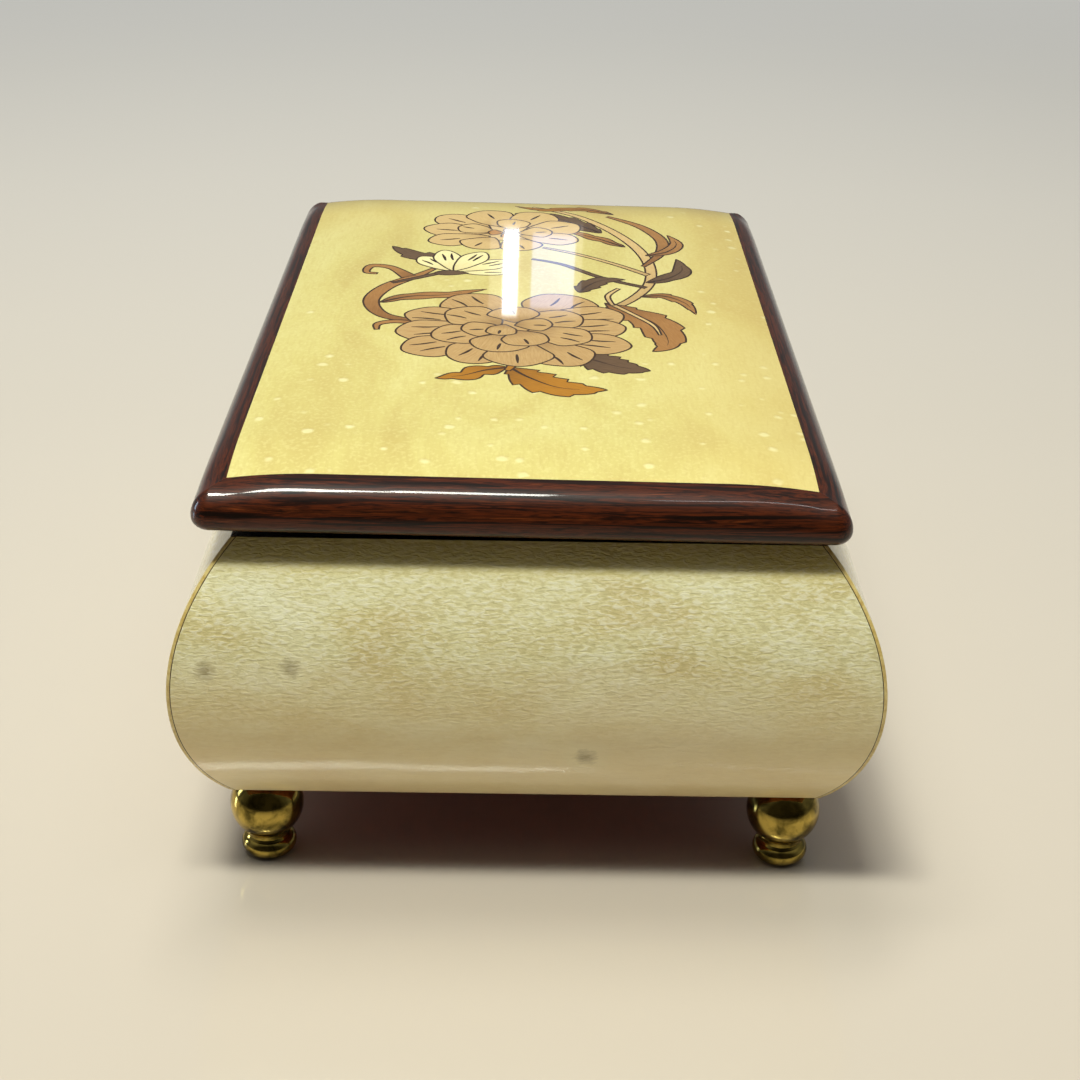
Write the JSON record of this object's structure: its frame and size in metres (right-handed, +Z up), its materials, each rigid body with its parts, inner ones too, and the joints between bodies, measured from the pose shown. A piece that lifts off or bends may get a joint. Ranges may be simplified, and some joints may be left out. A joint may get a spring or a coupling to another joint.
{
  "type": "musical jewellery box",
  "caption": "Bombe wooden musical jewellery box on brass feet, with a hinged pillow-topped floral inlay lid, velvet lining, ring rolls and a wind-up comb movement.",
  "frame": {"origin": "on the table, under the middle of the case", "axes": "+Z up, X along the box, -Y towards the side that opens; the pictured end faces +X"},
  "size_m": [0.217, 0.144, 0.0926],
  "materials": {
    "maple_veneer": "clear gloss lacquer over figured maple veneer",
    "core_wood": "plain poplar board",
    "rosewood": "gloss lacquer over rosewood",
    "inlay_tan": "scorched pear veneer under gloss lacquer",
    "inlay_cream": "holly veneer under gloss lacquer",
    "inlay_amber": "dyed amber veneer under gloss lacquer",
    "inlay_brown": "walnut veneer under gloss lacquer",
    "brass_feet": "polished and slightly tarnished",
    "brass": "polished",
    "velvet": "short red pile",
    "clear_plastic": "clear acrylic",
    "cast_metal": "plated die casting",
    "steel": "bright steel"
  },
  "bodies": {
    "case": {"front_panel": "core_wood", "back_panel": "core_wood", "left_end_panel": "core_wood", "right_end_panel": "core_wood", "front_veneer": "maple_veneer", "back_veneer": "maple_veneer", "left_end_veneer": "maple_veneer", "right_end_veneer": "maple_veneer", "base_board": "core_wood", "foot_front_left": "brass_feet", "foot_front_right": "brass_feet", "foot_back_left": "brass_feet", "foot_back_right": "brass_feet", "left_hinge_case_leaf": "brass", "right_hinge_case_leaf": "brass", "hinge_pins": "brass", "hinge_case_screws": "brass", "lining_floor": "velvet", "lining_front": "velvet", "lining_back": "velvet", "lining_end": "velvet", "lining_partition": "velvet", "partition": "core_wood", "cover_ledge": "core_wood", "clear_cover": "clear_plastic", "ring_block": "velvet", "ring_rolls": "velvet", "bedplate": "cast_metal", "bedplate_screws": "steel", "comb": "steel", "comb_screws": "steel", "governor_cock": "brass", "rod_guide": "cast_metal"},
    "lid": {"lid_core": "core_wood", "lid_veneer": "maple_veneer", "lid_border_front": "rosewood", "lid_border_back": "rosewood", "lid_border_left": "rosewood", "lid_border_right": "rosewood", "inlay_rose": "inlay_tan", "inlay_blossoms": "inlay_cream", "inlay_leaves": "inlay_amber", "inlay_stems": "inlay_brown", "lid_pad": "velvet", "left_hinge_lid_leaf": "brass", "right_hinge_lid_leaf": "brass", "hinge_lid_screws": "brass"},
    "key": {"winding_arbor": "steel", "winding_key": "brass"},
    "barrel": {"spring_barrel": "brass", "mainspring": "steel"},
    "cylinder": {"pin_cylinder": "brass", "cylinder_arbor": "brass"},
    "transfer": {"transfer_arbor": "brass"},
    "governor": {"governor": "steel"},
    "stop_rod": {"stop_rod": "steel", "stop_spring": "steel"}
  },
  "joints": [
    {"name": "lid_hinge", "type": "hinge", "parent": "case", "child": "lid", "pos_m": [0, 0.06042, 0.0789], "axis": [-1, 0, 0], "range_deg": [0, 95]},
    {"name": "key_turn", "type": "hinge", "parent": "case", "child": "key", "pos_m": [-0.06173, 0.017, 0.0234], "axis": [0, 0, 1], "continuous": true},
    {"name": "barrel_turn", "type": "hinge", "parent": "case", "child": "barrel", "pos_m": [-0.06173, 0.017, 0.0264], "axis": [0, 0, 1], "continuous": true},
    {"name": "cylinder_turn", "type": "hinge", "parent": "case", "child": "cylinder", "pos_m": [-0.06173, -0.009, 0.0392], "axis": [0, 1, 0], "continuous": true},
    {"name": "transfer_turn", "type": "hinge", "parent": "case", "child": "transfer", "pos_m": [-0.07372, -0.016, 0.0392], "axis": [0, 1, 0], "continuous": true},
    {"name": "governor_turn", "type": "hinge", "parent": "case", "child": "governor", "pos_m": [-0.07982, -0.016, 0.0392], "axis": [0, 0, 1], "continuous": true},
    {"name": "stop_slide", "type": "slide", "parent": "case", "child": "stop_rod", "axis": [0, 0, 1], "range_m": [0, 0.003], "deforming": ["stop_spring"]}
  ],
  "couplings": [
    {"joint": "cylinder_turn", "follows": "barrel_turn", "ratio": -2},
    {"joint": "transfer_turn", "follows": "barrel_turn", "ratio": 6},
    {"joint": "governor_turn", "follows": "barrel_turn", "ratio": -72},
    {"joint": "stop_slide", "follows": "lid_hinge", "m_per_rad": 0.0018}
  ]
}
